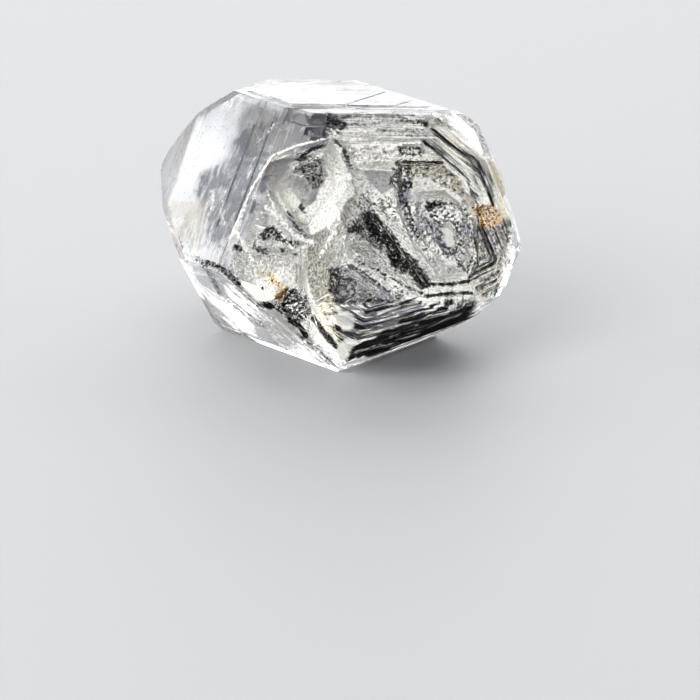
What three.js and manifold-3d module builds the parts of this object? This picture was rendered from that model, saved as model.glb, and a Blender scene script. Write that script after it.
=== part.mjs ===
// A Herkimer-type quartz crystal: short, clear, pointed at both ends, lying on one of its six prism faces.
//
// Frame: millimetres, +Z up. +X is the crystal's long axis (its c axis), towards the end whose big face has
// grown skeletal, with ribs that stand proud of sunken windows. The origin is on the ground, under the middle
// of the crystal's bounding box.
//
// Every outer flat belongs to one of three sets of six faces: the prism, the front pyramid and the back
// pyramid. Quartz fixes the direction of each one, so a face is stated by its distance from the crystal's
// centre alone. A raised growth layer is the same crystal with some distances changed.

import * as THREE from "three";
import { mergeVertices } from "three/addons/utils/BufferGeometryUtils.js";
import Module from "manifold-3d";

const wasm = await Module();
wasm.setup();

// ---------------------------------------------------------------- quartz symmetry

const PYRAMID_TILT = THREE.MathUtils.degToRad(51.79); // from the long axis to a pyramid face's normal
const SEXTANTS = ["top", "upperRight", "lowerRight", "base", "lowerLeft", "upperLeft"]; // 60 degrees apart

const LONG_AXIS = new THREE.Vector3(1, 0, 0);

// The outward normal of a prism face: "right" is +Y, as seen by someone who looks at the front end.
function prismNormal(sextant) {
  const turn = (SEXTANTS.indexOf(sextant) * Math.PI) / 3;
  return new THREE.Vector3(0, Math.sin(turn), Math.cos(turn));
}

// The outward normal of the pyramid face above that prism face, at the front (end 1) or the back (end -1).
function pyramidNormal(sextant, end) {
  const along = LONG_AXIS.clone().multiplyScalar(end * Math.cos(PYRAMID_TILT));
  return prismNormal(sextant).multiplyScalar(Math.sin(PYRAMID_TILT)).add(along);
}

// ---------------------------------------------------------------- driving dimensions, mm

// How far each face lies from the crystal's centre.
const HABIT = {
  prism: { top: 6.0, upperRight: 5.95, lowerRight: 5.55, base: 6.0, lowerLeft: 6.45, upperLeft: 4.8 },
  front: { top: 7.75, upperRight: 8.5, lowerRight: 8.4, base: 7.5, lowerLeft: 8.1, upperLeft: 3.25 },
  back: { top: 7.6, upperRight: 5.6, lowerRight: 6.1, base: 7.0, lowerLeft: 7.6, upperLeft: 7.75 },
};

const ROUGH_SIZE = 60; // the block that the faces are cut from, and the blocks that cut it
const INSET_STEP = 0.012; // between the insets of bodies that are joined one after another

// ---------------------------------------------------------------- solids

function solidFrom(geometry) {
  const bare = geometry.index ? geometry.toNonIndexed() : geometry.clone();
  bare.deleteAttribute("normal");
  bare.deleteAttribute("uv");
  const merged = mergeVertices(bare);
  const mesh = new wasm.Mesh({
    numProp: 3,
    vertProperties: new Float32Array(merged.attributes.position.array),
    triVerts: new Uint32Array(merged.index.array),
  });
  return new wasm.Manifold(mesh);
}

function geometryFrom(solid) {
  const mesh = solid.getMesh();
  const geometry = new THREE.BufferGeometry();
  geometry.setAttribute("position", new THREE.BufferAttribute(new Float32Array(mesh.vertProperties), 3));
  geometry.setIndex(new THREE.BufferAttribute(new Uint32Array(mesh.triVerts), 1));
  const faceted = geometry.toNonIndexed();
  faceted.computeVertexNormals();
  return faceted;
}

// Everything that lies further out than a plane.
function beyondPlane(normal, distance) {
  const block = new THREE.BoxGeometry(ROUGH_SIZE, ROUGH_SIZE, ROUGH_SIZE);
  block.translate(0, 0, distance + ROUGH_SIZE / 2);
  block.applyQuaternion(new THREE.Quaternion().setFromUnitVectors(new THREE.Vector3(0, 0, 1), normal));
  return solidFrom(block);
}

// A crystal with the habit's faces, apart from those that the changes move. The inset draws in the rest of
// them: bodies that are joined have different insets, so that no two of them share a plane.
function crystalBody(changes = {}, inset = 0) {
  let body = solidFrom(new THREE.BoxGeometry(ROUGH_SIZE, ROUGH_SIZE, ROUGH_SIZE));
  const distance = (set, sextant) => changes[set]?.[sextant] ?? HABIT[set][sextant] - inset;
  for (const sextant of SEXTANTS) {
    body = body.subtract(beyondPlane(prismNormal(sextant), distance("prism", sextant)));
    body = body.subtract(beyondPlane(pyramidNormal(sextant, 1), distance("front", sextant)));
    body = body.subtract(beyondPlane(pyramidNormal(sextant, -1), distance("back", sextant)));
  }
  return body;
}

// ---------------------------------------------------------------- the big face's own frame

// Outlines on the big front face are drawn in its plane: u runs level along it, v straight up it.
const BIG_NORMAL = pyramidNormal("upperLeft", 1);
const BIG_U = new THREE.Vector3().crossVectors(new THREE.Vector3(0, 0, 1), BIG_NORMAL).normalize();
const BIG_V = new THREE.Vector3().crossVectors(BIG_NORMAL, BIG_U);
const FROM_BIG_FACE = new THREE.Matrix4().makeBasis(BIG_U, BIG_V, BIG_NORMAL);

// A column that stands square to the big face on an outline, from the crystal's centre outwards.
function column(outline) {
  const shape = new THREE.Shape(outline.map(([u, v]) => new THREE.Vector2(u, v)));
  const geometry = new THREE.ExtrudeGeometry(shape, { depth: ROUGH_SIZE / 2, bevelEnabled: false });
  geometry.applyMatrix4(FROM_BIG_FACE);
  return solidFrom(geometry);
}

// The outline drawn in towards a point, to a share of its size.
function drawnIn(outline, [pointU, pointV], share) {
  return outline.map(([u, v]) => [pointU + (u - pointU) * share, pointV + (v - pointV) * share]);
}

// A hollow's solid. Its mouth is the outline; each [share, distance] of the profile draws the outline in
// towards the deepest point, at that distance from the crystal's centre. Above the mouth it goes straight up.
function hollow({ outline, deepest, profile }) {
  const points = outline.map(([u, v]) => new THREE.Vector2(u, v));
  const turned = THREE.ShapeUtils.isClockWise(points) ? [...outline].reverse() : outline;
  const capIndex = THREE.ShapeUtils.triangulateShape(turned.map(([u, v]) => new THREE.Vector2(u, v)), []);
  const rings = [[1, ROUGH_SIZE / 2], ...profile].map(([share, distance]) =>
    drawnIn(turned, deepest, share).map(([u, v]) => [u, v, distance]));

  const count = turned.length;
  const last = (rings.length - 1) * count;
  const index = [];
  for (const [a, b, c] of capIndex) {
    index.push(a, b, c);
    index.push(last + c, last + b, last + a);
  }
  for (let ring = 0; ring < last; ring += count) {
    for (let corner = 0; corner < count; corner++) {
      const next = (corner + 1) % count;
      index.push(ring + corner, ring + count + corner, ring + count + next);
      index.push(ring + corner, ring + count + next, ring + next);
    }
  }

  const geometry = new THREE.BufferGeometry();
  geometry.setAttribute("position", new THREE.Float32BufferAttribute(rings.flat(2), 3));
  geometry.setIndex(index);
  geometry.applyMatrix4(FROM_BIG_FACE);
  return solidFrom(geometry);
}

// ---------------------------------------------------------------- the crystal

let crystal = crystalBody();
let joined = 0;

// Joins one more body on to the crystal.
function joinBody(changes) {
  joined += 1;
  crystal = crystal.add(crystalBody(changes, joined * INSET_STEP));
}

// Growth layers on the big face, each one smaller and further out: they leave the ledges round its edge.
const LAYERS = [
  { prism: { upperLeft: 4.5 }, front: { upperLeft: 3.9, lowerLeft: 7.3 } },
  {
    prism: { top: 5.45 },
    front: { upperLeft: 4.2, top: 7.65, upperRight: 8.1, lowerRight: 8.3, lowerLeft: 6.9 },
  },
  {
    prism: { top: 5.1 },
    front: { upperLeft: 4.5, top: 7.55, upperRight: 7.75, lowerRight: 8.1, lowerLeft: 6.6 },
  },
  {
    prism: { top: 4.85 },
    front: { upperLeft: 4.7, top: 7.4, upperRight: 7.55, lowerRight: 7.9, lowerLeft: 6.3 },
  },
  {
    prism: { top: 4.2 },
    front: { upperLeft: 4.9, top: 7.3, upperRight: 7.3, lowerRight: 7.7, lowerLeft: 6.1 },
  },
];
LAYERS.forEach(joinBody);

// The blunt tip: the same crystal grown on, forward from the lower half of the big face.
const TIP = { prism: { upperLeft: 4.65, lowerLeft: 6.3 }, front: { upperLeft: 7.3, top: 4.75 } };

// Ledges below the tip, lowest last, and then the ones that lead on down the base pyramid face.
const TIP_LEDGES = [
  { front: { upperLeft: 7.05, lowerLeft: 8.2, top: 4.5 } },
  { front: { upperLeft: 6.6, lowerLeft: 8.32, top: 4.2 } },
  { front: { upperLeft: 6.1, lowerLeft: 8.44, top: 3.9 } },
  { front: { upperLeft: 5.5, lowerLeft: 8.54, top: 3.6 } },
  { front: { upperLeft: 4.8, lowerLeft: 8.62, top: 3.3 } },
  { prism: { base: 5.7 }, front: { base: 7.6 } },
  { prism: { base: 5.35 }, front: { base: 7.68 } },
  { prism: { base: 4.95 }, front: { base: 7.74 } },
  { prism: { base: 4.5 }, front: { base: 7.79 } },
];

// The tip's own faces with a ledge's changes, drawn in like the habit's.
function onTip(ledge) {
  const inset = joined * INSET_STEP;
  const prism = { upperLeft: TIP.prism.upperLeft - inset, lowerLeft: TIP.prism.lowerLeft - inset };
  const front = { upperLeft: TIP.front.upperLeft - inset, top: TIP.front.top - inset };
  return { prism: { ...prism, ...ledge.prism }, front: { ...front, ...ledge.front } };
}

joinBody(TIP);
TIP_LEDGES.forEach((ledge) => joinBody(onTip(ledge)));

// Growth layers on the back pyramid.
const BACK_LAYERS = [
  { prism: { upperLeft: 4.4, top: 5.7 }, back: { upperLeft: 7.82 } },
  { prism: { upperLeft: 4.0, top: 5.3 }, back: { upperLeft: 7.88, top: 7.3 } },
  { prism: { top: 5.5 }, back: { top: 7.68 } },
  { prism: { top: 5.0 }, back: { top: 7.74, upperLeft: 7.3 } },
  { prism: { upperRight: 5.3 }, back: { upperRight: 5.72 } },
  { prism: { base: 5.4 }, back: { base: 7.1, lowerLeft: 7.4 } },
];
BACK_LAYERS.forEach(joinBody);

// The tip has left a bare shelf on the big face, to the left of the rib that runs down its middle.
const SHELF = {
  outline: [
    [0.9, 2.35], [1.15, 1.1], [-0.8, -1.7], [-0.75, -4.4], [-0.1, -6.0], [0.5, -8.4],
    [-3.5, -8.4], [-7.0, -5.0], [-7.5, 0.6], [-4.3, 3.0], [-2.7, 2.9], [0.2, 3.75],
  ],
  deepest: [-6.0, -1.4],
  profile: [[1, 6.0], [0.97, 4.9], [0.91, 4.2], [0.87, 3.27]],
};
crystal = crystal.subtract(hollow(SHELF));

// A brow of the upper left prism face overhangs the shelf.
joinBody({ front: { upperLeft: 3.86, lowerLeft: 0.35 } });

// A knob that was left standing on the shelf, low on the left.
const KNOB = {
  outline: [
    [-4.7, -2.5], [-4.35, -3.7], [-3.4, -4.5], [-2.9, -4.45], [-2.2, -4.25], [-1.4, -3.6], [-1.3, -2.6],
    [-2.4, -2.2], [-3.8, -2.2],
  ],
  reach: { front: { upperLeft: 5.4 } },
  inset: 0.03,
};
crystal = crystal.add(column(KNOB.outline).intersect(crystalBody(KNOB.reach, KNOB.inset)));

// A stepped shoulder between the top and the upper right prism faces.
const SHOULDER_STEPS = [
  { prism: { upperRight: 6.3, top: 5.75 }, front: { top: 7.95, upperRight: 8.3 } },
  { prism: { upperRight: 6.3, top: 5.75 }, front: { top: 7.95, upperRight: 8.76, lowerRight: 7.0 } },
];
SHOULDER_STEPS.forEach(joinBody);

// Shallow growth ledges on the prism faces: square to the long axis, but along the big face on the lower left.
const STRIAE = [
  { prism: { upperLeft: 4.84 }, front: { upperLeft: 2.9 } },
  { prism: { upperLeft: 4.88 }, front: { upperLeft: 2.3 }, back: { upperLeft: 7.4 } },
  { prism: { upperLeft: 4.91 }, front: { upperLeft: 1.0 }, back: { upperLeft: 7.0 } },
  { prism: { top: 6.04 }, front: { top: 7.2 } },
  { prism: { top: 6.07 }, front: { top: 6.5 }, back: { top: 7.2 } },
  { prism: { top: 6.1 }, front: { top: 5.4 }, back: { top: 6.4 } },
  { prism: { lowerLeft: 6.5 }, front: { upperLeft: 3.0 } },
  { prism: { lowerLeft: 6.55 }, front: { upperLeft: 2.6 } },
  { prism: { lowerLeft: 6.6 }, front: { upperLeft: 1.9 } },
  { prism: { upperRight: 6.34, top: 5.6 }, front: { upperRight: 7.8 }, back: { upperRight: 5.2 } },
  { prism: { upperRight: 6.38, top: 5.5 }, front: { upperRight: 6.6 }, back: { upperRight: 4.6 } },
  { prism: { lowerRight: 5.6 }, front: { lowerRight: 7.7 }, back: { lowerRight: 5.6 } },
];
STRIAE.forEach(joinBody);

// Sunken windows between the ribs, and smaller pits. A floor, where there is one, is cut by crystal faces.
const WINDOWS = {
  left: {
    outline: [
      [-2.1, 2.5], [0.2, 3.5], [0.85, 2.35], [1.05, 1.1], [-0.85, -1.5], [-1.5, -1.2], [-2.75, 0.35],
      [-2.9, 1.1],
    ],
    deepest: [-1.2, 1.5],
    profile: [[1, 4.0], [0.86, 3.2], [0.72, 3.0], [0.62, 2.4], [0.36, 2.3], [0.26, 1.9]],
  },
  right: {
    outline: [
      [3.55, 2.45], [5.7, 2.6], [7.0, 1.5], [7.45, 0.35], [7.55, -2.6], [7.0, -3.3], [5.7, -3.25],
      [4.2, -1.4], [3.5, 0.1],
    ],
    deepest: [6.0, -1.5],
    profile: [[1, 4.9], [0.92, 4.2], [0.64, 4.05], [0.56, 3.4], [0.3, 3.3], [0.2, 2.9]],
  },
  middle: {
    outline: [
      [1.9, 0.4], [2.3, 0.3], [3.3, -1.2], [5.05, -3.6], [4.9, -3.85], [2.7, -2.8], [1.25, -2.4],
      [1.0, -1.6],
    ],
    deepest: [2.6, -1.9],
    profile: [[1, 7.4], [0.8, 4.6], [0.5, 3.0]],
    floor: { front: { top: 3.3, upperLeft: 5.4 } },
  },
  lower: {
    outline: [[0.4, -2.95], [1.15, -2.65], [3.75, -4.45], [1.0, -4.7], [0.2, -4.0]],
    deepest: [1.3, -3.9],
    profile: [[1, 7.4], [0.86, 6.7], [0.66, 6.5], [0.5, 5.8]],
  },
  ledgePocket: {
    outline: [[3.65, 3.35], [4.7, 3.35], [4.8, 2.85], [3.95, 2.8]],
    deepest: [4.3, 3.1],
    profile: [[1, 4.6], [0.6, 4.1]],
  },
  upperPocket: {
    outline: [[1.45, 2.15], [3.3, 2.1], [3.35, 1.2], [2.75, 0.75], [2.2, 1.3]],
    deepest: [2.9, 1.6],
    profile: [[1, 5.1], [0.75, 4.5], [0.45, 4.4]],
  },
  shelfPit: {
    outline: [[-2.0, -4.6], [-1.1, -4.4], [-0.7, -5.4], [-0.9, -6.3], [-1.7, -5.5]],
    deepest: [-1.2, -5.4],
    profile: [[1, 3.3], [0.7, 2.9], [0.3, 2.7]],
  },
  shelfHollow: {
    outline: [[-3.6, -0.6], [-2.2, -0.9], [-1.5, -1.9], [-1.9, -2.2], [-3.7, -1.9]],
    deepest: [-2.7, -1.5],
    profile: [[1, 3.4], [0.75, 3.0], [0.4, 2.9]],
  },
  edgeNotch: {
    outline: [[-4.55, -1.65], [-4.1, -1.75], [-4.4, -2.2]],
    deepest: [-4.4, -1.9],
    profile: [[1, 3.4], [0.6, 2.9]],
  },
};
for (const window of Object.values(WINDOWS)) {
  const well = hollow(window);
  crystal = crystal.subtract(window.floor ? well.subtract(crystalBody(window.floor)) : well);
}

// ---------------------------------------------------------------- the part

const material = new THREE.MeshStandardMaterial({ name: "quartz", color: 0xe9ecec, roughness: 0.08 });
const mesh = new THREE.Mesh(geometryFrom(crystal), material);
mesh.name = "crystal";

const bounds = new THREE.Box3().setFromBufferAttribute(mesh.geometry.attributes.position);
const middle = bounds.getCenter(new THREE.Vector3());
mesh.position.set(-middle.x, -middle.y, -bounds.min.z);

const part = new THREE.Group();
part.add(mesh);

export default part;
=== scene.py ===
import math
import random

import bmesh
import bpy
import numpy as np
from mathutils import Matrix, Vector, noise


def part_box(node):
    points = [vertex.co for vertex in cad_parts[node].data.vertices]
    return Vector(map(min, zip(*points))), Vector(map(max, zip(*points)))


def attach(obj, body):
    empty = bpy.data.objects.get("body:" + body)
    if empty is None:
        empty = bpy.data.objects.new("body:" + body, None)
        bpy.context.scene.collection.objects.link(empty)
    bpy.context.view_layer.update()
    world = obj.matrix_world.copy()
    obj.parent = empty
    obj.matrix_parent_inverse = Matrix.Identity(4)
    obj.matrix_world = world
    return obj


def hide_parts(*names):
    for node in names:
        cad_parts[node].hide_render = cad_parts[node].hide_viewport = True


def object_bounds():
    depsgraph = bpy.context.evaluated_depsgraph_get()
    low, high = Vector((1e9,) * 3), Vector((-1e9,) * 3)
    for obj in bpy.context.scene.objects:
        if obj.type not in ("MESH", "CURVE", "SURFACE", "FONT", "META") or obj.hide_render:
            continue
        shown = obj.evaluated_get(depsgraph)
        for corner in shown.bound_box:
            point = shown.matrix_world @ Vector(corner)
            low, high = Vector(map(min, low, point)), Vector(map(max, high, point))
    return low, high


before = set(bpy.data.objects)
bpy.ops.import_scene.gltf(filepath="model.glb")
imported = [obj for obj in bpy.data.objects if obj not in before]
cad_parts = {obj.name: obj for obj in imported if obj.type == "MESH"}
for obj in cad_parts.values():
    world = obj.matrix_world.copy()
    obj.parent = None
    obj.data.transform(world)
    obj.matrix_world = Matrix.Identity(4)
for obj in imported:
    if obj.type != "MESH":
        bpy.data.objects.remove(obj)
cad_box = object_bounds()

# ---------------------------------------------------------------- the crystal
# One clear quartz crystal that grew free at both ends and lies on one of its long flats. The outer flats are as
# they grew, with fine growth lines. The big face at one end grew hollow, and its floors are lightly etched.
MM = 0.001
CENTRE = Vector((0.2425, -0.0935, 6.0)) * MM  # the point that every face's distance is taken from
PYRAMID_TILT = math.radians(51.79)  # from the long axis, +X, to a pyramid face's normal
BACK_STEP = 0.4 * MM  # how far apart the surface mesh is cut on the far side
FRONT_STEP = 0.2 * MM  # on the outer faces of the near side
HOLLOW_STEP = 0.1 * MM  # and in the hollowed part


def prism_normal(turn):
    return Vector((0, math.sin(math.radians(turn)), math.cos(math.radians(turn))))


def pyramid_normal(turn, end):
    return prism_normal(turn) * math.sin(PYRAMID_TILT) + Vector((end * math.cos(PYRAMID_TILT), 0, 0))


# The big face's own axes: u runs level along it, v straight up it, w out of it.
BIG_NORMAL = pyramid_normal(300, 1)
BIG_U = Vector((0, 0, 1)).cross(BIG_NORMAL).normalized()
BIG_V = BIG_NORMAL.cross(BIG_U)
TO_BIG_FACE = Matrix((BIG_U, BIG_V, BIG_NORMAL))

# The smooth outer faces and their distances from the centre, in mm.
OUTER_FACES = [
    (prism_normal(0), 6.0), (prism_normal(60), 6.3), (prism_normal(120), 5.55),
    (prism_normal(180), 6.0), (prism_normal(240), 6.45), (prism_normal(300), 4.8),
    (pyramid_normal(0, 1), 7.75), (pyramid_normal(60, 1), 8.3), (pyramid_normal(120, 1), 8.4),
    (pyramid_normal(180, 1), 7.5),
    (pyramid_normal(0, -1), 7.6), (pyramid_normal(60, -1), 5.6), (pyramid_normal(120, -1), 6.1),
    (pyramid_normal(180, -1), 7.0), (pyramid_normal(240, -1), 7.6), (pyramid_normal(300, -1), 7.75),
]

# The near side is the one that the big face looks out of. Its marks are drawn on a flat view of it, in
# twentieths of a millimetre, x to the right and y down, as it is seen from 250 mm away.
VIEW_AZIMUTH, VIEW_ELEVATION = math.radians(45), math.radians(20)
VIEW_DISTANCE = 250 * MM
VIEW_UNIT = 0.05 * MM
VIEW_CENTRE = (329.9, 215.9)  # where the crystal's centre falls in that view
VIEW_BACK = Vector((
    math.sin(VIEW_AZIMUTH) * math.cos(VIEW_ELEVATION),
    -math.cos(VIEW_AZIMUTH) * math.cos(VIEW_ELEVATION),
    math.sin(VIEW_ELEVATION),
))
VIEW_RIGHT = Vector((math.cos(VIEW_AZIMUTH), math.sin(VIEW_AZIMUTH), 0))
VIEW_UP = VIEW_BACK.cross(VIEW_RIGHT)

NOISE_SEED = 7
noise.seed_set(NOISE_SEED)  # without a seed, the offsets behind noise_vector come from the clock

MERGE_DISTANCE = 0.002 * MM
FLAT_ANGLE = math.radians(0.2)
SHARP_ANGLE = math.radians(8)
CUT_TOLERANCE = 1e-7
form = bmesh.new()
form.from_mesh(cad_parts["crystal"].data)
bmesh.ops.remove_doubles(form, verts=form.verts, dist=MERGE_DISTANCE)
bmesh.ops.dissolve_limit(form, angle_limit=FLAT_ANGLE, verts=form.verts, edges=form.edges)
for edge in form.edges:
    edge.smooth = edge.calc_face_angle(0) < SHARP_ANGLE


def slice_faces(faces, axis, step, first, last):
    """Cuts faces into layers a step thick along one axis. Each cut parts the stack, so the next sees half."""
    if first > last or not faces:
        return
    middle = (first + last) // 2
    across = Vector([float(i == axis) for i in range(3)])
    edges = dict.fromkeys(edge for face in faces for edge in face.edges)
    verts = dict.fromkeys(vert for edge in edges for vert in edge.verts)
    cut = bmesh.ops.bisect_plane(
        form, geom=[*verts, *edges, *faces], dist=CUT_TOLERANCE, plane_co=across * middle * step, plane_no=across,
    )
    faces = [item for item in cut["geom"] if isinstance(item, bmesh.types.BMFace)]
    below = [face for face in faces if face.calc_center_median()[axis] < middle * step]
    above = [face for face in faces if face.calc_center_median()[axis] >= middle * step]
    slice_faces(below, axis, step, first, middle - 1)
    slice_faces(above, axis, step, middle + 1, last)


def into_cells(faces, step):
    lowest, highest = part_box("crystal")
    for axis in range(3):
        first, last = math.ceil(lowest[axis] / step), math.floor(highest[axis] / step)
        slice_faces([face for face in faces() if face.is_valid], axis, step, first, last)


SUNK_FROM, SUNK_FADE = 0.08, 0.37  # mm below the outer faces where the hollow starts, and how soon it is full
GRAZING, FACING_FADE = 0.07, 0.06  # marks start on faces turned this much to the view, and how soon they are full
TURNED_AWAY = -0.1  # in the hollow, marks reach faces turned this much from the view
RAGGED_WAVES = [(1.4, 5), (4, 2.5)]  # waves per mm in a mark's outline, and how far they move it in view units
MARK_CORE = 0.3  # the share of a mark's reach where it is full


def sunk_share(places):
    """1 for points well below the smooth outer faces, 0 for points on them."""
    depth = np.min([distance - places @ np.array(normal) for normal, distance in OUTER_FACES], axis=0)
    sunk = np.clip((depth - SUNK_FROM) / SUNK_FADE, 0, 1)
    return sunk * sunk * (3 - 2 * sunk)


def look_at(places, normals):
    """Where points fall in the view of the near side, x and y, how far they face it, where they are in mm, and
    x and y moved about, which gives marks ragged outlines."""
    places = np.array(places) - np.array(CENTRE)
    spread = VIEW_DISTANCE / (VIEW_DISTANCE - places @ np.array(VIEW_BACK)) / VIEW_UNIT
    x = VIEW_CENTRE[0] + places @ np.array(VIEW_RIGHT) * spread
    y = VIEW_CENTRE[1] - places @ np.array(VIEW_UP) * spread
    toward = np.array(normals) @ np.array(VIEW_BACK)
    facing = np.where(toward > TURNED_AWAY, sunk_share(places / MM), 0)
    facing = np.maximum(facing, np.clip((toward - GRAZING) / FACING_FADE, 0, 1))
    ragged = np.array([
        sum((noise.noise_vector(Vector(spot) * waves) * shift for waves, shift in RAGGED_WAVES), Vector())
        for spot in places / MM
    ])
    return x, y, facing, places / MM, x + ragged[:, 0], y + ragged[:, 1]


def mark(amount, reach, *points, filled=False):
    """How much of a mark each seen point has: full on its line, or inside its outline, and none past its reach."""
    x, y, facing = seen[:3]
    if filled:
        x, y = seen[4:]
    nearest = np.full(len(x), 1e9)
    inside = np.zeros(len(x), dtype=bool)
    for start, end in zip(points, points[1:] + points[:1] if filled else points[1:] or points):
        along = np.subtract(end, start)
        share = ((x - start[0]) * along[0] + (y - start[1]) * along[1]) / max(along.dot(along), 1e-9)
        share = np.clip(share, 0, 1)
        away = np.hypot(x - start[0] - share * along[0], y - start[1] - share * along[1])
        nearest = np.minimum(nearest, away)
        if filled and start[1] != end[1]:
            crosses = (start[1] > y) != (end[1] > y)
            inside ^= crosses & (x < start[0] + (y - start[1]) * along[0] / along[1])
    nearest[inside] = 0
    fade = 1 - np.clip((nearest - reach * MARK_CORE) / (reach * (1 - MARK_CORE)), 0, 1)
    return amount * fade * fade * (3 - 2 * fade) * facing


def hollow_share():
    """1 where the big face is hollowed and etched, 0 on the smooth outer faces."""
    pitted = mark(
        1, 5, (330, 119), (440, 117), (484, 156), (504, 190), (512, 228), (502, 262), (488, 300), (440, 312),
        (400, 325), (356, 350), (338, 357), (318, 345), (298, 330), (268, 304), (252, 299), (241, 284),
        (238, 262), (246, 240), (262, 228), (270, 205), (290, 160), (322, 144), filled=True,
    )
    return np.maximum(sunk_share(seen[3]), pitted)


NEAR_SIDE = 0.05  # faces turned at least this much to the view are cut finely
into_cells(lambda: list(form.faces), BACK_STEP)
form.normal_update()
into_cells(lambda: [face for face in form.faces if face.normal.dot(VIEW_BACK) > NEAR_SIDE], FRONT_STEP)
seen = look_at([face.calc_center_median() for face in form.faces], [face.normal for face in form.faces])
thin_edge = mark(1, 9, (230, 238), (252, 188), (272, 156), (298, 145), (325, 139))
hollow_faces = [face for face, share in zip(form.faces, hollow_share() + thin_edge) if share > 0]
for face in form.faces:
    face.material_index = 0
for face in hollow_faces:
    face.material_index = 1
into_cells(lambda: [face for face in form.faces if face.material_index == 1], HOLLOW_STEP)
for face in form.faces:
    face.material_index = 0
bmesh.ops.triangulate(form, faces=form.faces, quad_method="BEAUTY", ngon_method="BEAUTY")

# Growth lines run along each face's edge with the big face, and level on the lowest end face. Etching roughens
# the hollowed part. Waves are given as strength and waves per mm, for lines along them and across them.
LINE_DEPTH, LEVEL_LINE_DEPTH, ETCH_DEPTH = 0.014, 0.042, 0.04  # mm
LINE_WAVES, LINE_MEAN = [(1, 0.12, 2.6), (0.5, 0.3, 6)], 0.75
ETCH_WAVES, ETCH_MEAN = [(0.8, 0.9), (0.3, 2.2), (0.5, 5)], 0.7
BEND_WAVES, BEND = 0.8, 0.5  # the etching's own wander, in waves per mm and mm
SAME_FACE = 0.97  # the cosine that tells a face's points from its neighbours'
BASE = -5.98  # mm; the flat that the crystal lies on stays flat
LEVEL_LINED = pyramid_normal(180, 1)
form.normal_update()
seen = look_at([vert.co for vert in form.verts], [vert.normal for vert in form.verts])
hollowed = hollow_share()
for vert, place, hollow in zip(form.verts, seen[3], hollowed):
    if place[2] < BASE:
        continue
    u, v, w = TO_BIG_FACE @ Vector(place)
    line_depth, across = LINE_DEPTH, w
    if vert.normal.dot(LEVEL_LINED) > SAME_FACE:
        line_depth, across = LEVEL_LINE_DEPTH, place[2]
    lines = sum(
        strength * noise.noise(Vector((u * slow, v * slow, across * fast))) for strength, slow, fast in LINE_WAVES
    )
    spot = Vector((u, v, w))
    spot += noise.noise_vector(spot * BEND_WAVES) * BEND
    etch = sum(strength * noise.noise(spot * waves) for strength, waves in ETCH_WAVES)
    depth = (1 - hollow) * line_depth * (LINE_MEAN + lines) + hollow * ETCH_DEPTH * (ETCH_MEAN + etch)
    vert.co -= vert.normal * max(0, depth) * MM


def shown(name, form):
    """A visible object made of a finished form."""
    mesh = bpy.data.meshes.new(name)
    form.to_mesh(mesh)
    form.free()
    piece = bpy.data.objects.new(name, mesh)
    bpy.context.collection.objects.link(piece)
    return piece


clear_crystal = shown("clear_crystal", form)
crystal_mesh = clear_crystal.data
for polygon in crystal_mesh.polygons:
    polygon.use_smooth = True
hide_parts("crystal")
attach(clear_crystal, "root")

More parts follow.
